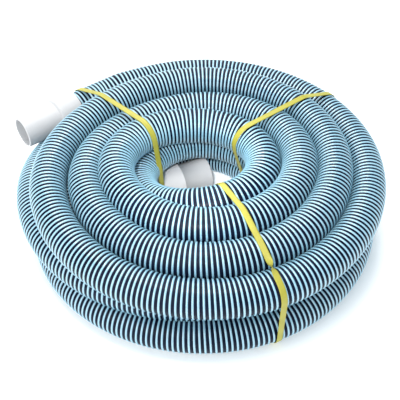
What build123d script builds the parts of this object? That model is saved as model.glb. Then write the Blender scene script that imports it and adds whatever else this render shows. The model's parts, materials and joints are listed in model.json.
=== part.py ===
"""Pool vacuum hose, coiled flat and tied with three straps.

A 1-1/2 in spiral-wound hose lies in a round coil, three layers deep, with a plain stepped cuff
on its outer end and a swivelling cuff on its inner end. Millimetres, +Z up, the floor at z = 0.
The origin is the middle of the object's footprint, on the floor.
"""

import math
import os

from build123d import *

# ---- driving dimensions -------------------------------------------------------------------

HOSE_OD = 47.5  # over the crests of the spiral rib
BORE = 38.1  # 1-1/2 in, the size of the hose and of both cuffs
STRAP_WIDTH = 8.0
STRAP_THICK = 0.5
STRAP_GAP = 0.3  # between a strap and the hose it holds

WIND_X = 9.5  # the axis that the turns wind about
WIND_Y = -9.5
COIL_X = WIND_X + 0.1 * HOSE_OD  # centre of the coil's outer circle
COIL_Y = WIND_Y + 0.2 * HOSE_OD
COIL_RADIUS = 5.05 * HOSE_OD
COIL_FLOOR = STRAP_THICK + STRAP_GAP  # the hose lies on the straps
CROWN_HEIGHT = COIL_FLOOR + 3.0 * HOSE_OD  # top of the third layer
CROWN_START = 2.2 * HOSE_OD
CROWN_END = 3.2 * HOSE_OD
RIM_HEIGHT = COIL_FLOOR + 2.5 * HOSE_OD  # top of the outermost turn, which has sunk
RIM_ROUND = 0.48 * HOSE_OD
EYE_HEIGHT = COIL_FLOOR + 2.85 * HOSE_OD  # top of the innermost turn

EYE_X = WIND_X + 0.02 * HOSE_OD
EYE_Y = WIND_Y - 0.055 * HOSE_OD
EYE_HALF_WIDTH = 1.22 * HOSE_OD
EYE_HALF_DEPTH = 0.94 * HOSE_OD
UNDER_Y = WIND_Y + 0.33 * HOSE_OD  # the wider room under the upper turns
UNDER_HALF_WIDTH = 1.25 * HOSE_OD
UNDER_HALF_DEPTH = 1.22 * HOSE_OD
UNDER_HEIGHT = 1.05 * HOSE_OD

COLLAR_OD = 53.2
COLLAR_LENGTH = 33.0
SOCKET_OD = 44.4
SOCKET_ROOT_OD = 45.4
SOCKET_LENGTH = 56.0
HOSE_GRIP = 30.0  # how far the hose goes into a cuff
CUFF_EDGE = 1.0

SWIVEL_COLLAR_LENGTH = 39.0
SWIVEL_GRIP = 21.0
SWIVEL_STOP = 26.0  # front face of the web that the hose stops against
SWIVEL_LIP = 35.0  # back face of the lip that holds the socket's flange
SWIVEL_SOCKET_LENGTH = 43.0  # what shows in front of the collar
SWIVEL_FLANGE_R = 24.3
SWIVEL_PLAY = 0.2
SEAL_SECTION_R = 1.1

OUTER_CUFF_ANGLE = -142.5  # the way the mouth points, in plan
OUTER_CUFF_X = WIND_X - 3.79 * HOSE_OD
OUTER_CUFF_Y = WIND_Y + 3.02 * HOSE_OD
OUTER_CUFF_Z = COIL_FLOOR + 1.85 * HOSE_OD
OUTER_LEAD = 42.0  # hose in the open between the coil and the cuff

INNER_CUFF_ANGLE = 26.0
INNER_CUFF_X = WIND_X - 1.345 * HOSE_OD
INNER_CUFF_Y = WIND_Y + 0.826 * HOSE_OD
INNER_CUFF_Z = COIL_FLOOR + COLLAR_OD / 2
INNER_LEAD = 19.0

POCKET_PLAY = 1.5  # room round each cuff in the coil
POCKET_BEYOND = 10.0  # room in front of the inner cuff's mouth
OUTER_POCKET_LENGTH = 6 * HOSE_OD  # runs out of the coil


def along(angle, x, y, z, distance):
    """The point at a distance from x, y, z in the direction of a plan angle."""
    turn = math.radians(angle)
    return (x + distance * math.cos(turn), y + distance * math.sin(turn), z)


def profile_plane(angle, x, y, z):
    """A plane through a cuff's axis: its x runs along the axis to the mouth, its y is up."""
    turn = math.radians(angle)
    forward = (math.cos(turn), math.sin(turn), 0)
    side = (math.sin(turn), -math.cos(turn), 0)
    return Plane(origin=(x, y, z), x_dir=forward, z_dir=side)


def cross_plane(angle, x, y, z, distance):
    """A plane across a cuff's axis, facing the mouth, with its y up."""
    turn = math.radians(angle)
    forward = (math.cos(turn), math.sin(turn), 0)
    side = (-math.sin(turn), math.cos(turn), 0)
    return Plane(origin=along(angle, x, y, z, distance), x_dir=side, z_dir=forward)


def axis_of(angle, x, y, z):
    """The axis of a cuff."""
    turn = math.radians(angle)
    return Axis((x, y, z), (math.cos(turn), math.sin(turn), 0))


OUTER = (OUTER_CUFF_ANGLE, OUTER_CUFF_X, OUTER_CUFF_Y, OUTER_CUFF_Z)
INNER = (INNER_CUFF_ANGLE, INNER_CUFF_X, INNER_CUFF_Y, INNER_CUFF_Z)

os.makedirs("parts", exist_ok=True)

# ---- the coil: the outer shape of the wound hose, with its eye and the cuffs' places --------

with BuildPart() as hose_coil:
    with BuildSketch(Plane(origin=(COIL_X, COIL_Y, 0), x_dir=(1, 0, 0), z_dir=(0, -1, 0))) as section:
        with BuildLine():
            Polyline(
                (0, COIL_FLOOR),
                (COIL_RADIUS, COIL_FLOOR),
                (COIL_RADIUS, RIM_HEIGHT),
                (CROWN_END, CROWN_HEIGHT),
                (CROWN_START, CROWN_HEIGHT),
                (0, EYE_HEIGHT),
                close=True,
            )
        make_face()
        fillet(section.vertices().sort_by(Axis.X)[-2:], RIM_ROUND)
    revolve(axis=Axis((COIL_X, COIL_Y, 0), (0, 0, 1)))

    # the eye, oval from above, and the wider room under the upper turns
    with BuildSketch(Plane.XY):
        with Locations((EYE_X, EYE_Y)):
            Ellipse(EYE_HALF_WIDTH, EYE_HALF_DEPTH)
    extrude(amount=4 * HOSE_OD, mode=Mode.SUBTRACT)
    with BuildSketch(Plane.XY):
        with Locations((EYE_X, UNDER_Y)):
            Ellipse(UNDER_HALF_WIDTH, UNDER_HALF_DEPTH)
    extrude(amount=UNDER_HEIGHT, mode=Mode.SUBTRACT)

    # the inner cuff lies on the floor, in a pocket that starts at the hose's last straight bit
    with BuildSketch(cross_plane(*INNER, -INNER_LEAD)):
        Circle(COLLAR_OD / 2 + POCKET_PLAY)
        with Locations((0, -HOSE_OD)):
            Rectangle(COLLAR_OD + 2 * POCKET_PLAY, 2 * HOSE_OD)
    extrude(
        amount=INNER_LEAD + SWIVEL_COLLAR_LENGTH + SWIVEL_SOCKET_LENGTH + POCKET_BEYOND,
        mode=Mode.SUBTRACT,
    )

    # the outer cuff lies on the lower layers, in a pocket that is open above
    with BuildSketch(cross_plane(*OUTER, -OUTER_LEAD)):
        Circle(COLLAR_OD / 2 + POCKET_PLAY)
        with Locations((0, 2 * HOSE_OD)):
            Rectangle(COLLAR_OD + 2 * POCKET_PLAY, 4 * HOSE_OD)
        with Locations((-2 * HOSE_OD, HOSE_OD)):
            Rectangle(4 * HOSE_OD, 3 * HOSE_OD)
    extrude(amount=OUTER_POCKET_LENGTH, mode=Mode.SUBTRACT)
hose_coil.part.label = "hose_coil"
export_step(hose_coil.part, "parts/hose_coil.step")

# ---- the two ends of the hose, straight where they leave the coil ---------------------------

with BuildPart() as hose_lead_outer:
    with BuildSketch(cross_plane(*OUTER, -OUTER_LEAD)):
        Circle(HOSE_OD / 2)
    extrude(amount=OUTER_LEAD + HOSE_GRIP)
hose_lead_outer.part.label = "hose_lead_outer"
export_step(hose_lead_outer.part, "parts/hose_lead_outer.step")

with BuildPart() as hose_lead_inner:
    with BuildSketch(cross_plane(*INNER, -INNER_LEAD)):
        Circle(HOSE_OD / 2)
    extrude(amount=INNER_LEAD + SWIVEL_GRIP)
hose_lead_inner.part.label = "hose_lead_inner"
export_step(hose_lead_inner.part, "parts/hose_lead_inner.step")

# ---- outer cuff: one moulding, a wide collar on the hose and a slimmer socket --------------

with BuildPart() as fixed_cuff:
    with BuildSketch(profile_plane(*OUTER)):
        with BuildLine():
            Polyline(
                (0, HOSE_OD / 2),
                (0, COLLAR_OD / 2 - CUFF_EDGE),
                (CUFF_EDGE, COLLAR_OD / 2),
                (COLLAR_LENGTH - 1.5 * CUFF_EDGE, COLLAR_OD / 2),
                (COLLAR_LENGTH, COLLAR_OD / 2 - 1.5 * CUFF_EDGE),
                (COLLAR_LENGTH + 1.0, SOCKET_ROOT_OD / 2),
                (COLLAR_LENGTH + SOCKET_LENGTH - CUFF_EDGE, SOCKET_OD / 2),
                (COLLAR_LENGTH + SOCKET_LENGTH, SOCKET_OD / 2 - CUFF_EDGE),
                (COLLAR_LENGTH + SOCKET_LENGTH, BORE / 2),
                (HOSE_GRIP, BORE / 2),
                (HOSE_GRIP, HOSE_OD / 2),
                close=True,
            )
        make_face()
    revolve(axis=axis_of(*OUTER))
fixed_cuff.part.label = "fixed_cuff"
export_step(fixed_cuff.part, "parts/fixed_cuff.step")

# ---- inner cuff: a collar screwed on the hose, and a socket that turns in it ---------------

LIP_BORE_R = SOCKET_OD / 2 + SWIVEL_PLAY
CAVITY_R = SWIVEL_FLANGE_R + SWIVEL_PLAY

with BuildPart() as swivel_collar:
    with BuildSketch(profile_plane(*INNER)):
        with BuildLine():
            Polyline(
                (0, HOSE_OD / 2),
                (0, COLLAR_OD / 2 - CUFF_EDGE),
                (CUFF_EDGE, COLLAR_OD / 2),
                (SWIVEL_COLLAR_LENGTH - CUFF_EDGE, COLLAR_OD / 2),
                (SWIVEL_COLLAR_LENGTH, COLLAR_OD / 2 - CUFF_EDGE),
                (SWIVEL_COLLAR_LENGTH, LIP_BORE_R),
                (SWIVEL_LIP, LIP_BORE_R),
                (SWIVEL_LIP, CAVITY_R),
                (SWIVEL_STOP, CAVITY_R),
                (SWIVEL_STOP, BORE / 2),
                (SWIVEL_GRIP, BORE / 2),
                (SWIVEL_GRIP, HOSE_OD / 2),
                close=True,
            )
        make_face()
    revolve(axis=axis_of(*INNER))
swivel_collar.part.label = "swivel_collar"
export_step(swivel_collar.part, "parts/swivel_collar.step")

FLANGE_BACK = SWIVEL_STOP + 2 * SEAL_SECTION_R + SWIVEL_PLAY
FLANGE_FRONT = SWIVEL_LIP - SWIVEL_PLAY
MOUTH = SWIVEL_COLLAR_LENGTH + SWIVEL_SOCKET_LENGTH

with BuildPart() as swivel_socket:
    with BuildSketch(profile_plane(*INNER)):
        with BuildLine():
            Polyline(
                (FLANGE_BACK, BORE / 2),
                (FLANGE_BACK, SWIVEL_FLANGE_R),
                (FLANGE_FRONT, SWIVEL_FLANGE_R),
                (FLANGE_FRONT, SOCKET_OD / 2),
                (MOUTH - 2 * CUFF_EDGE, SOCKET_OD / 2),
                (MOUTH, SOCKET_OD / 2 - 2 * CUFF_EDGE),
                (MOUTH, BORE / 2),
                close=True,
            )
        make_face()
    revolve(axis=axis_of(*INNER))
swivel_socket.part.label = "swivel_socket"
export_step(swivel_socket.part, "parts/swivel_socket.step")

with BuildPart() as swivel_seal:
    with BuildSketch(profile_plane(*INNER)):
        with Locations((SWIVEL_STOP + SEAL_SECTION_R, (BORE / 2 + CAVITY_R) / 2)):
            Circle(SEAL_SECTION_R)
    revolve(axis=axis_of(*INNER))
swivel_seal.part.label = "swivel_seal"
export_step(swivel_seal.part, "parts/swivel_seal.step")

# ---- three flat straps, each a closed loop round the coil ----------------------------------

CLEAR = STRAP_THICK + STRAP_GAP


def strap_outline(eye, sunk):
    """A loop's outer face: eye is the radius of its inner run, sunk shifts the coil's profile."""
    return [
        (eye, 0),
        (COIL_RADIUS + sunk + CLEAR, 0),
        (COIL_RADIUS + sunk + CLEAR, RIM_HEIGHT + CLEAR),
        (CROWN_END + sunk, CROWN_HEIGHT + CLEAR),
        (CROWN_START + sunk, CROWN_HEIGHT + CLEAR),
        (eye, CROWN_HEIGHT - 0.07 * HOSE_OD + CLEAR),
    ]


def strap_plane(angle, x, y):
    """An upright plane through x, y: its x runs outward at a plan angle, its y is up."""
    turn = math.radians(angle)
    outward = (math.cos(turn), math.sin(turn), 0)
    across = (math.sin(turn), -math.cos(turn), 0)
    return Plane(origin=(x, y, 0), x_dir=outward, z_dir=across)


# each strap: the plane that it lies in, and its outline in that plane
STRAPS = {
    "tie_strap_right": (
        strap_plane(39.5, WIND_X + 0.107 * HOSE_OD, WIND_Y - 0.14 * HOSE_OD),
        strap_outline(1.02 * HOSE_OD, 0.204 * HOSE_OD),
    ),
    "tie_strap_front": (
        strap_plane(-65.6, WIND_X, WIND_Y),
        strap_outline(0.985 * HOSE_OD, -0.146 * HOSE_OD),
    ),
    "tie_strap_left": (
        strap_plane(131.0, WIND_X - 0.98 * HOSE_OD, WIND_Y + 0.26 * HOSE_OD),
        [
            (0, 0),
            (4.54 * HOSE_OD, 0),
            (4.54 * HOSE_OD, RIM_HEIGHT),
            (2.43 * HOSE_OD, CROWN_HEIGHT + CLEAR),
            (1.26 * HOSE_OD, CROWN_HEIGHT + CLEAR),
            (0, CROWN_HEIGHT - 0.05 * HOSE_OD + CLEAR),
        ],
    ),
}

for name, (plane, outline) in STRAPS.items():
    with BuildPart() as strap:
        with BuildSketch(plane) as loop:
            with BuildLine():
                Polyline(*outline, close=True)
            make_face()
            fillet(loop.vertices().sort_by(Axis.X)[-2:], RIM_ROUND)
            offset(amount=-STRAP_THICK, mode=Mode.SUBTRACT)
        extrude(amount=STRAP_WIDTH / 2, both=True)
    strap.part.label = name
    export_step(strap.part, "parts/" + name + ".step")

# ---- the leads against their section times their length ------------------------------------

SECTION = math.pi * (HOSE_OD / 2) ** 2
for lead, length in (
    (hose_lead_outer, OUTER_LEAD + HOSE_GRIP),
    (hose_lead_inner, INNER_LEAD + SWIVEL_GRIP),
):
    share = lead.part.volume / (SECTION * length)
    print(lead.part.label, "straight, no radii,", round(length, 1), "mm, volume ratio", round(share, 4))
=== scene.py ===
"""Pool vacuum hose tied up in a round coil: the visual model, its materials, lights and camera.

Metres, in the CAD model's frame: +Z up, the floor at z = 0, -Y to the front.
"""

import json
import math

import bpy
import numpy as np
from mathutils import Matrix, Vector


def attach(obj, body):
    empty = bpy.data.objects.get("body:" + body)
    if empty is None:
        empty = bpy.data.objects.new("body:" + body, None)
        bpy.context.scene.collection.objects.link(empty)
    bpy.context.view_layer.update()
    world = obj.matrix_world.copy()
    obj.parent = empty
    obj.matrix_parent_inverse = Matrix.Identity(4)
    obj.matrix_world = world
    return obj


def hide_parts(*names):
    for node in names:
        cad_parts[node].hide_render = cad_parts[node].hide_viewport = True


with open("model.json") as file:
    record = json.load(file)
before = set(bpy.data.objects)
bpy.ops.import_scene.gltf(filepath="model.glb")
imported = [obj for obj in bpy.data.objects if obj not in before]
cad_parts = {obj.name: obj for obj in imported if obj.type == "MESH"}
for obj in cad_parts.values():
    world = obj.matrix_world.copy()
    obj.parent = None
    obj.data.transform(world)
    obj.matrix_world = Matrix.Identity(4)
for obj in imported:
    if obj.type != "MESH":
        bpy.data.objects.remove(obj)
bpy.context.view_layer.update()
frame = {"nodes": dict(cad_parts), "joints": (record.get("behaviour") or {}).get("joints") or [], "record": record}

# ---- driving dimensions ---------------------------------------------------------------------

HOSE_OD = 0.0475  # over the crests of the rib
HOSE_BORE = 0.0381
WIND = Vector((0.0095, -0.0095, 0.0))  # the upright axis that the turns wind about
FLOOR_GAP = 0.0008  # the hose lies on the straps
POINTS_PER_TURN = 16
SPLINE_STEPS = 12  # drawn between two control points

RIB_PITCH = 0.00585
RIB_WIDTH = 0.0026
RIB_HEIGHT = 0.0009
RIB_STEPS = 30  # round one turn of the helix
RIB_PIECES = 4
RIB_SUNK = 0.0002  # how far its feet go into the web

STRAP_WIDTH = 0.008
STRAP_THICK = 0.0005
STRAP_GAP = 0.0003
LIFT_OFF = 0.02  # how high a strap has to be before it can tilt freely
STRAP_STEP = 0.003  # between two sections of a strap
RING_STEPS = 72  # points on each hose that a strap is drawn round
# how a strap tilts: size in radians, radians per metre, share of the seed
TILT_WAVES = ((0.04, 23.0, 1), (0.03, 61.0, 2))
WANDER = 0.0006  # how far a strap strays sideways
WANDER_WAVE = 17.0  # radians per metre
TWIST_LENGTH = 0.007

# The cuffs, along their axis from where the hose goes in, and their radii.
COLLAR_RADIUS = 0.0266
SOCKET_RADIUS = 0.0222
SOCKET_ROOT_RADIUS = 0.0227
OUTER_COLLAR_END = 0.033
OUTER_SOCKET_START = 0.0346
OUTER_MOUTH = 0.089
OUTER_GRIP = 0.030
SWIVEL_COLLAR_END = 0.039
SWIVEL_LIP = 0.035
SWIVEL_STOP = 0.026
SWIVEL_GRIP = 0.021
SWIVEL_LIP_RADIUS = 0.0224
SWIVEL_CAVITY_RADIUS = 0.0245
FLANGE_START = 0.0284
FLANGE_END = 0.0348
FLANGE_RADIUS = 0.0243
SWIVEL_MOUTH = 0.0820
SEAM = 0.00012  # height of a cuff's parting lines
SEAM_FROM_RADIUS = 0.0205  # they are on the outside only
SEAM_ANGLES = (90.0, 270.0)
SEAM_EDGES = (-1.1, -0.45, 0.45, 1.1)  # degrees from the middle of a parting line
SEAM_HALF_WIDTH = 0.5  # degrees; the inner two edges are raised
LATHE_SEGMENTS = 120
ARC_STEPS = 5  # in each rounded corner
BORE_LENGTH = 0.12  # how far in the hollow of the hose is made
BORE_RINGS = 24
BORE_SIDES = 64

MOUNT_FROM_ENTRY = 0.0595  # the outer cuff's mount, along the cuff from where the hose goes in
SWIVEL_FROM_ENTRY = 0.035

CAMERA_ELEVATION = 46.0
CAMERA_TARGET = (0.0, -0.015, 0.060)  # from the winding axis
CAMERA_DISTANCE = 1.0
CAMERA_LENS = 67.05

FLOOR_REACH = 6.0
FLOOR_GLOW = 0.22  # the floor is lit from below, as a light table is
WORLD_COLOUR = (0.76, 0.91, 1.0, 1.0)
WORLD_STRENGTH = 0.80
LIGHT_COLOUR = (1.0, 0.94, 0.89)
LIGHT_TARGET = (0.0, 0.0, 0.06)  # from the winding axis
# name, place from the target, size, power
AREA_LIGHTS = (
    ("key", (-0.4, 1.3, 1.3), 1.6, 24.0),
    ("top", (-0.1, 0.0, 2.0), 0.6, 22.0),
    ("fill", (-0.9, -1.2, 0.9), 1.3, 16.0),
)
EYE_SPOT_POWER = 170.0
EYE_SPOT_ANGLE = 6.5
EYE_SPOT_SIZE = 0.08
EYE_SPOT_SLOPE = (-0.08, -0.66, 0.75)  # from the eye of the coil to the light
EYE_SPOT_DISTANCE = 1.4

# The coil, turn by turn from the outer cuff inward over the top, outward through the middle
# layer and inward along the floor. Radius from the winding axis, then height of the hose's
# centre, at the back, right, front and left, all in hose diameters.
TURNS = (
    ((4.61, 4.62, 4.29, 4.14), (1.95, 2.05, 1.95, 2.25)),
    ((3.64, 3.68, 3.39, 3.08), (2.36, 2.40, 2.25, 2.30)),
    ((2.48, 2.73, 2.45, 2.25), (2.29, 2.50, 2.50, 2.58)),
    ((1.38, 1.74, 1.49, 1.70), (2.55, 2.40, 2.25, 1.66)),
    ((1.73, 2.05, 1.95, 2.70), (1.64, 1.45, 1.40, 1.50)),
    ((2.80, 3.05, 2.92, 3.72), (1.40, 1.48, 1.40, 1.45)),
    ((3.75, 3.95, 3.80, 4.69), (1.40, 1.40, 1.22, 1.42)),
    ((4.62, 4.55, 4.30, 4.30), (0.86, 0.55, 0.50, 0.50)),
    ((3.70, 3.45, 3.25, 3.30), (0.50, 0.50, 0.50, 0.50)),
    ((2.50, 2.12, 2.20, 2.30), (0.50, 0.50, 0.50, 0.50)),
)
BEFORE_FIRST = (4.42, 1.95)  # the quarter turn that the outer cuff stands in
# How much further out and up the middle of a quarter turn lies than a fair curve would.
BOWS = {
    3: (-0.25, 0.0),
    7: (-0.21, 0.0),
    11: (-0.13, 0.0),
    27: (0.22, -0.42),  # under the outer cuff
}
COIL_START = -0.35  # in quarter turns from the first back point
COIL_END = 38.75  # the hose then leaves the coil for the inner cuff

# ---- places, from the frame -----------------------------------------------------------------

outer_mount = frame["record"]["mounts"][0]
swivel = frame["joints"][0]
OUTER_AXIS = Vector(outer_mount["axis"]).normalized()
# where the hose goes into each cuff
OUTER_ENTRY = Vector(outer_mount["pos_m"]) - MOUNT_FROM_ENTRY * OUTER_AXIS
INNER_AXIS = Vector(swivel["axis"]).normalized()
INNER_ENTRY = Vector(swivel["pos_m"]) - SWIVEL_FROM_ENTRY * INNER_AXIS


def in_diameters(x, y, z):
    """A point given in hose diameters from the winding axis, with the hose lying at z = 0.5."""
    return WIND + Vector((x, y, z)) * HOSE_OD + Vector((0, 0, FLOOR_GAP))


# ---- camera ---------------------------------------------------------------------------------


def make_camera():
    elevation = math.radians(CAMERA_ELEVATION)
    target = WIND + Vector(CAMERA_TARGET)
    data = bpy.data.cameras.new("camera")
    data.lens = CAMERA_LENS
    data.sensor_width = 36.0
    data.clip_start = 0.05
    camera = bpy.data.objects.new("camera", data)
    back = Vector((0.0, -math.cos(elevation), math.sin(elevation)))
    camera.location = target + back * CAMERA_DISTANCE
    camera.rotation_euler = (target - camera.location).to_track_quat("-Z", "Y").to_euler()
    bpy.context.scene.collection.objects.link(camera)
    bpy.context.scene.camera = camera


# ---- the hose's route -----------------------------------------------------------------------


def quarter(index):
    """Radius and height at a quarter turn, counted from the first back point."""
    if index < 0:
        return np.array(BEFORE_FIRST)
    index = min(index, 4 * len(TURNS) - 1)
    radii, heights = TURNS[index // 4]
    return np.array((radii[index % 4], heights[index % 4]))


def coil_point(t):
    """The point at t quarter turns, clockwise from the back, on a Catmull-Rom of the quarters."""
    i = math.floor(t)
    u = t - i
    a, b, c, d = (quarter(i + k) for k in (-1, 0, 1, 2))
    value = b + 0.5 * u * (c - a + u * (2 * a - 5 * b + 4 * c - d + u * (3 * (b - c) + d - a)))
    value = value + np.array(BOWS.get(i, (0.0, 0.0))) * math.sin(math.pi * u)
    # the spline passes inside its control points, by the cosine of half the angle between two
    radius = value[0] / math.cos(math.pi / POINTS_PER_TURN)
    azimuth = math.radians(90 - 90 * t)
    return in_diameters(radius * math.cos(azimuth), radius * math.sin(azimuth), value[1])


def route_points():
    """The control points of the whole hose, from inside the outer cuff to inside the inner one."""
    start = [
        OUTER_ENTRY + 0.025 * OUTER_AXIS,
        OUTER_ENTRY + 0.003 * OUTER_AXIS,
        OUTER_ENTRY - 0.020 * OUTER_AXIS,
        in_diameters(-3.10, 3.56, 1.86),
        in_diameters(-2.74, 3.75, 1.90),
    ]
    count = round((COIL_END - COIL_START) * POINTS_PER_TURN / 4)
    coil = [coil_point(COIL_START + (COIL_END - COIL_START) * i / count) for i in range(count + 1)]
    end = [
        in_diameters(-2.23, -0.42, 0.50),
        in_diameters(-2.16, 0.08, 0.51),
        in_diameters(-1.93, 0.47, 0.54),
        INNER_ENTRY - 0.013 * INNER_AXIS,
        INNER_ENTRY + 0.017 * INNER_AXIS,
    ]
    return start + coil + end


def make_route():
    """The hose's centreline as one open NURBS spline."""
    data = bpy.data.curves.new("hose_web", "CURVE")
    data.dimensions = "3D"
    points = route_points()
    spline = data.splines.new("NURBS")
    spline.points.add(len(points) - 1)
    for point, place in zip(spline.points, points):
        point.co = (*place, 1.0)
    spline.order_u = 3
    spline.use_endpoint_u = True
    spline.resolution_u = SPLINE_STEPS
    hose = bpy.data.objects.new("hose_web", data)
    bpy.context.scene.collection.objects.link(hose)
    return hose


class Centreline:
    """The route's own points, with a frame that doesn't twist, read at any distance along it."""

    def __init__(self, curve):
        bpy.context.view_layer.update()
        mesh = bpy.data.meshes.new_from_object(curve)
        self.points = np.array([v.co for v in mesh.vertices])
        bpy.data.meshes.remove(mesh)
        steps = np.linalg.norm(np.diff(self.points, axis=0), axis=1)
        self.points = self.points[np.concatenate([[True], steps > 1e-7])]
        steps = np.linalg.norm(np.diff(self.points, axis=0), axis=1)
        self.along = np.concatenate([[0.0], np.cumsum(steps)])
        self.length = self.along[-1]
        tangent = np.gradient(self.points, self.along, axis=0)
        self.tangent = tangent / np.linalg.norm(tangent, axis=1)[:, None]
        normal = np.empty_like(self.tangent)
        normal[0] = np.cross(self.tangent[0], (0.0, 0.0, 1.0))
        for i in range(len(normal)):
            carried = normal[max(i - 1, 0)]
            carried = carried - self.tangent[i] * (carried @ self.tangent[i])
            normal[i] = carried / np.linalg.norm(carried)
        self.normal = normal

    def read(self, distance):
        """Places, tangents, normals and binormals at these distances."""
        place, tangent, normal = (
            np.stack([np.interp(distance, self.along, v[:, k]) for k in range(3)], axis=-1)
            for v in (self.points, self.tangent, self.normal)
        )
        tangent /= np.linalg.norm(tangent, axis=1)[:, None]
        normal -= tangent * np.sum(normal * tangent, axis=1)[:, None]
        normal /= np.linalg.norm(normal, axis=1)[:, None]
        return place, tangent, normal, np.cross(tangent, normal)


# ---- mesh helpers ---------------------------------------------------------------------------


def mesh_object(name, vertices, faces, smooth=True):
    data = bpy.data.meshes.new(name)
    data.from_pydata([tuple(v) for v in vertices], [], [tuple(f) for f in faces])
    data.update()
    if smooth:
        data.polygons.foreach_set("use_smooth", [True] * len(data.polygons))
    made = bpy.data.objects.new(name, data)
    bpy.context.scene.collection.objects.link(made)
    return made


def grid_faces(rows, columns, wrap_rows=False, wrap_columns=False):
    """Quads over a grid of vertices that is stored row by row."""
    last_row = rows if wrap_rows else rows - 1
    last_column = columns if wrap_columns else columns - 1
    i, j = np.meshgrid(np.arange(last_row), np.arange(last_column), indexing="ij")
    i2, j2 = (i + 1) % rows, (j + 1) % columns
    corners = (i * columns + j, i * columns + j2, i2 * columns + j2, i2 * columns + j)
    return np.stack(corners, axis=-1).reshape(-1, 4)


def rounded(corners):
    """A closed outline from (x, y, radius) corners, each rounded by an arc of that radius."""
    outline = []
    for k, (x, y, radius) in enumerate(corners):
        here = Vector((x, y))
        before = Vector(corners[k - 1][:2]) - here
        after = Vector(corners[(k + 1) % len(corners)][:2]) - here
        if radius <= 0:
            outline.append(here)
            continue
        half = before.angle(after) / 2
        reach = min(radius / math.tan(half), 0.49 * before.length, 0.49 * after.length)
        radius = reach * math.tan(half)
        middle = (before.normalized() + after.normalized()).normalized()
        centre = here + middle * radius / math.sin(half)
        first = here + before.normalized() * reach - centre
        last = here + after.normalized() * reach - centre
        sweep = first.angle_signed(last)
        for step in range(ARC_STEPS + 1):
            turn = -sweep * step / ARC_STEPS
            c, s = math.cos(turn), math.sin(turn)
            outline.append(centre + Vector((first.x * c - first.y * s, first.x * s + first.y * c)))
    return [(p.x, p.y) for p in outline]


def lathe(name, outline, origin, axis):
    """Turns a closed outline of (along, radius) about an axis, with two raised parting lines."""
    base = [360.0 * i / LATHE_SEGMENTS for i in range(LATHE_SEGMENTS)]
    base = sorted(set(base) | {middle + step for middle in SEAM_ANGLES for step in SEAM_EDGES})
    side = Vector((0, 0, 1)).cross(axis).normalized()
    up = axis.cross(side)
    vertices = []
    for angle in base:
        turn = math.radians(angle)
        out = side * math.cos(turn) + up * math.sin(turn)
        from_seam = min(abs(angle - middle) for middle in SEAM_ANGLES)
        raised = SEAM if from_seam < SEAM_HALF_WIDTH else 0.0
        for along, radius in outline:
            height = radius + raised * (radius > SEAM_FROM_RADIUS)
            vertices.append(origin + axis * along + out * height)
    faces = grid_faces(len(base), len(outline), wrap_rows=True, wrap_columns=True)
    return mesh_object(name, vertices, faces)


# ---- the hose's surface ---------------------------------------------------------------------


def make_ribs(line):
    """The raised spiral rib, in several pieces, each a bead that winds round the centreline."""
    crest = HOSE_OD / 2
    foot = crest - RIB_HEIGHT - RIB_SUNK
    half = RIB_WIDTH / 2
    # along the hose, then out from its axis
    profile = (
        (-half, foot),
        (-0.88 * half, crest - 0.42 * RIB_HEIGHT),
        (-0.5 * half, crest - 0.06 * RIB_HEIGHT),
        (0.5 * half, crest - 0.06 * RIB_HEIGHT),
        (0.88 * half, crest - 0.42 * RIB_HEIGHT),
        (half, foot),
    )
    turns = line.length / RIB_PITCH
    total = int(turns * RIB_STEPS)
    made = []
    for piece in range(RIB_PIECES):
        first = total * piece // RIB_PIECES
        last = total * (piece + 1) // RIB_PIECES
        index = np.arange(first, last + 1)
        place, tangent, normal, binormal = line.read(index * RIB_PITCH / RIB_STEPS)
        turn = 2 * math.pi * index / RIB_STEPS
        out = normal * np.cos(turn)[:, None] + binormal * np.sin(turn)[:, None]
        rows = [place + tangent * along + out * radius for along, radius in profile]
        vertices = np.stack(rows, axis=1).reshape(-1, 3)
        faces = grid_faces(len(index), len(profile))
        made.append(mesh_object(f"hose_rib_{piece + 1}", vertices, faces))
    return made


def make_bore(name, line, start, end):
    """The hollow of the hose where a cuff lets one look in: its cut end and its inner wall."""
    place, _, normal, binormal = line.read(np.linspace(start, end, BORE_RINGS))
    turn = np.linspace(0, 2 * math.pi, BORE_SIDES, endpoint=False)[None, :, None]
    around = normal[:, None] * np.cos(turn) + binormal[:, None] * np.sin(turn)
    rings = [place[:1, None] + around[:1] * (HOSE_OD / 2 - 0.0003)]
    rings.append(place[:, None] + around * (HOSE_BORE / 2))
    vertices = np.concatenate(rings, axis=0)
    faces = grid_faces(BORE_RINGS + 1, BORE_SIDES, wrap_columns=True)
    return mesh_object(name, vertices.reshape(-1, 3), faces)


# ---- straps ---------------------------------------------------------------------------------


def hull(points):
    """The convex hull of points in a plane, anticlockwise."""
    points = sorted(map(tuple, points))
    chains = []
    for run in (points, points[::-1]):
        chain = []
        for p in run:
            while len(chain) > 1:
                (ax, ay), (bx, by) = chain[-2], chain[-1]
                if (bx - ax) * (p[1] - ay) - (by - ay) * (p[0] - ax) > 0:
                    break
                chain.pop()
            chain.append(p)
        chains += chain[:-1]
    return np.array(chains)


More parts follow.
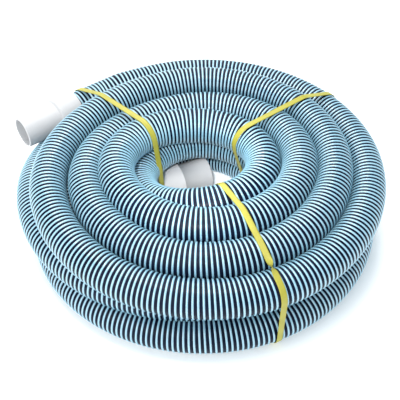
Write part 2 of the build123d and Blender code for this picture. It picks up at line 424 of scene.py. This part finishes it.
def strap_path(line, origin, angle):
    """The taut loop that an upright plane makes round the turns it crosses."""
    turn = math.radians(angle)
    outward = np.array((math.cos(turn), math.sin(turn), 0.0))
    across = np.array((math.sin(turn), -math.cos(turn), 0.0))
    offset = line.points - np.array(origin)
    side = offset @ across
    out = offset @ outward
    crossed = np.nonzero((side[:-1] * side[1:] < 0) & (out[:-1] > 0))[0]
    radius = HOSE_OD / 2 + STRAP_GAP
    ring = np.linspace(0, 2 * math.pi, RING_STEPS, endpoint=False)
    cloud = []
    for i in crossed:
        share = side[i] / (side[i] - side[i + 1])
        u = out[i] + share * (out[i + 1] - out[i])
        z = line.points[i][2] + share * (line.points[i + 1][2] - line.points[i][2])
        slant = abs(line.tangent[i] @ across)
        cloud += [(u + radius * math.cos(a) / slant, z + radius * math.sin(a)) for a in ring]
    loop = hull(cloud)
    closed = np.vstack([loop, loop[:1]])
    along = np.concatenate([[0.0], np.cumsum(np.linalg.norm(np.diff(closed, axis=0), axis=1))])
    count = round(along[-1] / STRAP_STEP)
    even = np.linspace(0, along[-1], count, endpoint=False)
    flat = np.stack([np.interp(even, along, closed[:, k]) for k in range(2)], axis=-1)
    flat = (np.roll(flat, 1, axis=0) + 2 * flat + np.roll(flat, -1, axis=0)) / 4
    return flat, even, outward, across


def make_strap(name, line, origin, angle, seed, twist_at=None):
    """A flat strap drawn tight round the coil; twist_at is the place of a half twist."""
    flat, even, outward, across = strap_path(line, origin, angle)
    tangent = np.roll(flat, -1, axis=0) - np.roll(flat, 1, axis=0)
    tangent /= np.linalg.norm(tangent, axis=1)[:, None]
    normal = np.stack([tangent[:, 1], -tangent[:, 0]], axis=-1)
    roll = sum(size * np.sin(even * wave + share * seed) for size, wave, share in TILT_WAVES)
    # flat where it lies on the floor
    roll *= np.clip((flat[:, 1] - STRAP_THICK) / LIFT_OFF, 0.0, 1.0)
    wander = WANDER * np.sin(even * WANDER_WAVE + seed)
    if twist_at is not None:
        nearest = np.argmin(np.linalg.norm(flat - np.array(twist_at), axis=1))
        gap = (even - even[nearest] + even[-1] / 2) % even[-1] - even[-1] / 2
        roll += math.pi * (0.5 + 0.5 * np.tanh(gap / TWIST_LENGTH))
    centre = np.array(origin) + outward * flat[:, :1] + np.array((0, 0, 1.0)) * flat[:, 1:]
    centre = centre + across * wander[:, None]
    face = outward * normal[:, :1] + np.array((0, 0, 1.0)) * normal[:, 1:]
    wide = across * np.cos(roll)[:, None] + face * np.sin(roll)[:, None]
    thin = face * np.cos(roll)[:, None] - across * np.sin(roll)[:, None]
    half = STRAP_WIDTH / 2
    section = [(x * half, 0.0) for x in (-1, -0.6, 0, 0.6, 1)]
    section += [(x * half, STRAP_THICK) for x in (0.97, 0.6, 0, -0.6, -0.97)]
    rows = [centre + wide * x + thin * y for x, y in section]
    vertices = np.stack(rows, axis=1).reshape(-1, 3)
    faces = grid_faces(len(centre), len(section), wrap_rows=True, wrap_columns=True)
    return mesh_object(name, vertices, faces)


# ---- cuffs ----------------------------------------------------------------------------------


def make_outer_cuff():
    hose_r, bore_r = HOSE_OD / 2, HOSE_BORE / 2
    outline = rounded(
        (
            (0.0, hose_r, 0.0004),
            (0.0, COLLAR_RADIUS, 0.0012),
            (OUTER_COLLAR_END, COLLAR_RADIUS, 0.0032),
            (OUTER_SOCKET_START, SOCKET_ROOT_RADIUS, 0.0012),
            (OUTER_MOUTH, SOCKET_RADIUS, 0.0012),
            (OUTER_MOUTH, bore_r, 0.0009),
            (OUTER_GRIP, bore_r, 0.0004),
            (OUTER_GRIP, hose_r, 0.0),
        )
    )
    return lathe("outer_cuff", outline, OUTER_ENTRY, OUTER_AXIS)


def make_swivel_collar():
    hose_r, bore_r = HOSE_OD / 2, HOSE_BORE / 2
    outline = rounded(
        (
            (0.0, hose_r, 0.0004),
            (0.0, COLLAR_RADIUS, 0.0012),
            (SWIVEL_COLLAR_END, COLLAR_RADIUS, 0.0010),
            (SWIVEL_COLLAR_END, SWIVEL_LIP_RADIUS, 0.0004),
            (SWIVEL_LIP, SWIVEL_LIP_RADIUS, 0.0),
            (SWIVEL_LIP, SWIVEL_CAVITY_RADIUS, 0.0),
            (SWIVEL_STOP, SWIVEL_CAVITY_RADIUS, 0.0),
            (SWIVEL_STOP, bore_r, 0.0),
            (SWIVEL_GRIP, bore_r, 0.0),
            (SWIVEL_GRIP, hose_r, 0.0),
        )
    )
    return lathe("inner_cuff_collar", outline, INNER_ENTRY, INNER_AXIS)


def make_swivel_socket():
    bore_r = HOSE_BORE / 2
    outline = rounded(
        (
            (FLANGE_START, bore_r, 0.0),
            (FLANGE_START, FLANGE_RADIUS, 0.0003),
            (FLANGE_END, FLANGE_RADIUS, 0.0003),
            (FLANGE_END, SOCKET_RADIUS, 0.0),
            (SWIVEL_MOUTH, SOCKET_RADIUS, 0.0024),
            (SWIVEL_MOUTH, bore_r, 0.0006),
        )
    )
    return lathe("inner_cuff_socket", outline, INNER_ENTRY, INNER_AXIS)


# ---- materials ------------------------------------------------------------------------------


class Shader:
    """A Principled material with a few helpers for its procedural nodes."""

    def __init__(self, name, **plain):
        self.material = bpy.data.materials.new(name)
        self.material.use_nodes = True
        self.tree = self.material.node_tree
        self.bsdf = self.tree.nodes["Principled BSDF"]
        for socket, value in plain.items():
            self.bsdf.inputs[socket.replace("_", " ")].default_value = value
        self.place = self.node("ShaderNodeTexCoord").outputs["Object"]

    def node(self, kind):
        return self.tree.nodes.new(kind)

    def link(self, source, target):
        self.tree.links.new(source, target)

    def noise(self, scale, detail):
        """Noise over the object's own place; scale is in features per metre."""
        made = self.node("ShaderNodeTexNoise")
        made.inputs["Scale"].default_value = scale
        made.inputs["Detail"].default_value = detail
        self.link(self.place, made.inputs["Vector"])
        return made.outputs["Fac"]

    def ramp(self, value, *stops):
        """A colour ramp between two (position, colour) stops."""
        made = self.node("ShaderNodeValToRGB")
        for element, (position, colour) in zip(made.color_ramp.elements, stops):
            element.position = position
            element.color = (*colour, 1.0)
        self.link(value, made.inputs["Fac"])
        return made.outputs["Color"]

    def range(self, value, low, high):
        """A value of 0 to 1 moved to low to high."""
        made = self.node("ShaderNodeMapRange")
        made.inputs["To Min"].default_value = low
        made.inputs["To Max"].default_value = high
        self.link(value, made.inputs["Value"])
        return made.outputs["Result"]

    def multiply(self, first, second):
        """One colour times another."""
        made = self.node("ShaderNodeMix")
        made.data_type = "RGBA"
        made.blend_type = "MULTIPLY"
        factor, a, b = (made.inputs[k] for k in (0, 6, 7))  # the sockets of its RGBA form
        factor.default_value = 1.0
        self.link(first, a)
        self.link(second, b)
        return made.outputs[2]

    def finish(self, colour, roughness, height, depth):
        """Joins up colour, roughness and a bump of a depth in metres."""
        self.link(colour, self.bsdf.inputs["Base Color"])
        self.link(roughness, self.bsdf.inputs["Roughness"])
        bump = self.node("ShaderNodeBump")
        bump.inputs["Distance"].default_value = depth
        bump.inputs["Strength"].default_value = 1.0
        self.link(height, bump.inputs["Height"])
        self.link(bump.outputs["Normal"], self.bsdf.inputs["Normal"])
        return self.material


def rib_material():
    shader = Shader("rib_blue", Specular_IOR_Level=1.0, IOR=1.8)
    cloud = shader.noise(14.0, 3.0)
    grain = shader.noise(900.0, 3.0)
    colour = shader.ramp(cloud, (0.3, (0.28, 0.55, 0.70)), (0.7, (0.34, 0.60, 0.74)))
    speck = shader.ramp(grain, (0.35, (0.90, 0.90, 0.90)), (0.65, (1.0, 1.0, 1.0)))
    colour = shader.multiply(colour, speck)
    return shader.finish(colour, shader.range(cloud, 0.28, 0.40), grain, 0.00004)


def web_material():
    shader = Shader("web_navy", Specular_IOR_Level=0.12)
    cloud = shader.noise(30.0, 3.0)
    grain = shader.noise(700.0, 2.0)
    colour = shader.ramp(cloud, (0.3, (0.001, 0.003, 0.014)), (0.7, (0.003, 0.007, 0.026)))
    return shader.finish(colour, shader.range(grain, 0.3, 0.5), grain, 0.00003)


def cuff_material():
    shader = Shader("cuff_white", Specular_IOR_Level=0.2)
    cloud = shader.noise(22.0, 3.0)
    grain = shader.noise(600.0, 4.0)
    colour = shader.ramp(cloud, (0.3, (0.57, 0.565, 0.575)), (0.7, (0.62, 0.615, 0.625)))
    return shader.finish(colour, shader.range(cloud, 0.34, 0.46), grain, 0.00003)


def strap_material():
    shader = Shader("strap_yellow")
    cloud = shader.noise(60.0, 3.0)
    grain = shader.noise(1400.0, 3.0)
    colour = shader.ramp(cloud, (0.3, (0.40, 0.36, 0.035)), (0.7, (0.47, 0.43, 0.065)))
    return shader.finish(colour, shader.range(cloud, 0.38, 0.52), grain, 0.00005)


def seal_material():
    shader = Shader("seal_rubber")
    grain = shader.noise(800.0, 3.0)
    colour = shader.ramp(grain, (0.3, (0.012, 0.012, 0.012)), (0.7, (0.03, 0.03, 0.03)))
    return shader.finish(colour, shader.range(grain, 0.5, 0.7), grain, 0.00003)


def floor_material():
    shader = Shader("floor_white", Emission_Strength=FLOOR_GLOW)
    cloud = shader.noise(3.0, 2.0)
    colour = shader.ramp(cloud, (0.3, (0.93, 0.93, 0.93)), (0.7, (0.95, 0.95, 0.95)))
    return shader.finish(colour, shader.range(cloud, 0.65, 0.75), cloud, 0.00002)


def paint(piece, material):
    piece.data.materials.clear()
    piece.data.materials.append(material)


# ---- stage ----------------------------------------------------------------------------------


def make_stage():
    corners = [
        (x * FLOOR_REACH, y * FLOOR_REACH, 0.0) for x, y in ((-1, -1), (1, -1), (1, 1), (-1, 1))
    ]
    floor = mesh_object("floor", corners, [(0, 1, 2, 3)], smooth=False)
    paint(floor, floor_material())

    world = bpy.data.worlds.new("studio")
    bpy.context.scene.world = world
    world.use_nodes = True
    background = world.node_tree.nodes["Background"]
    background.inputs["Color"].default_value = WORLD_COLOUR
    background.inputs["Strength"].default_value = WORLD_STRENGTH

    centre = WIND + Vector(LIGHT_TARGET)
    for name, place, size, power in AREA_LIGHTS:
        data = bpy.data.lights.new(name, "AREA")
        data.shape = "SQUARE"
        data.size = size
        data.energy = power
        data.color = LIGHT_COLOUR
        light = bpy.data.objects.new(name, data)
        light.location = centre + Vector(place)
        light.rotation_euler = (-Vector(place)).to_track_quat("-Z", "Y").to_euler()
        bpy.context.scene.collection.objects.link(light)

    data = bpy.data.lights.new("eye", "SPOT")
    data.energy = EYE_SPOT_POWER
    data.spot_size = math.radians(EYE_SPOT_ANGLE)
    data.spot_blend = 1.0
    data.shadow_soft_size = EYE_SPOT_SIZE
    light = bpy.data.objects.new("eye", data)
    slope = Vector(EYE_SPOT_SLOPE)
    light.location = in_diameters(0.15, 0.7, 0.8) + slope * EYE_SPOT_DISTANCE
    light.rotation_euler = (-slope).to_track_quat("-Z", "Y").to_euler()
    bpy.context.scene.collection.objects.link(light)
    bpy.context.scene.view_settings.view_transform = "Standard"


# ---- the model ------------------------------------------------------------------------------


def build():
    make_camera()
    hose = make_route()
    line = Centreline(hose)
    hose.data.bevel_depth = HOSE_OD / 2 - RIB_HEIGHT
    hose.data.bevel_resolution = 12

    ribs = make_ribs(line)
    bores = [
        make_bore("outer_end_bore", line, 0.0, BORE_LENGTH),
        make_bore("inner_end_bore", line, line.length, line.length - BORE_LENGTH),
    ]
    cuff = make_outer_cuff()
    collar = make_swivel_collar()
    socket = make_swivel_socket()
    # each strap: a point of the upright plane that it lies in, and the plan angle it runs out at
    right_place = in_diameters(0.107, -0.14, 0)
    left_place = in_diameters(-0.98, 0.26, 0)
    twist = (4.15 * HOSE_OD, 2.68 * HOSE_OD)
    straps = {
        "tie_strap_right": make_strap("strap_right", line, right_place, 39.5, 1),
        "tie_strap_front": make_strap("strap_front", line, WIND, -65.6, 2, twist_at=twist),
        "tie_strap_left": make_strap("strap_left", line, left_place, 131.0, 3),
    }

    blue, navy, white, yellow = rib_material(), web_material(), cuff_material(), strap_material()
    paint(hose, navy)
    for piece in ribs:
        paint(piece, blue)
    for piece in bores:
        paint(piece, navy)
    for piece in (cuff, collar, socket):
        paint(piece, white)
    paint(frame["nodes"]["swivel_seal"], seal_material())

    for piece in (hose, *ribs, *bores, cuff, collar, *straps.values()):
        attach(piece, "hose")
    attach(socket, "swivel_socket")
    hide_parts("hose_coil", "hose_lead_outer", "hose_lead_inner")
    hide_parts("fixed_cuff")
    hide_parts("swivel_collar")
    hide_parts("swivel_socket")
    for node, piece in straps.items():
        paint(piece, yellow)
        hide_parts(node)
    print("hose length", round(line.length, 3))
    make_stage()


build()
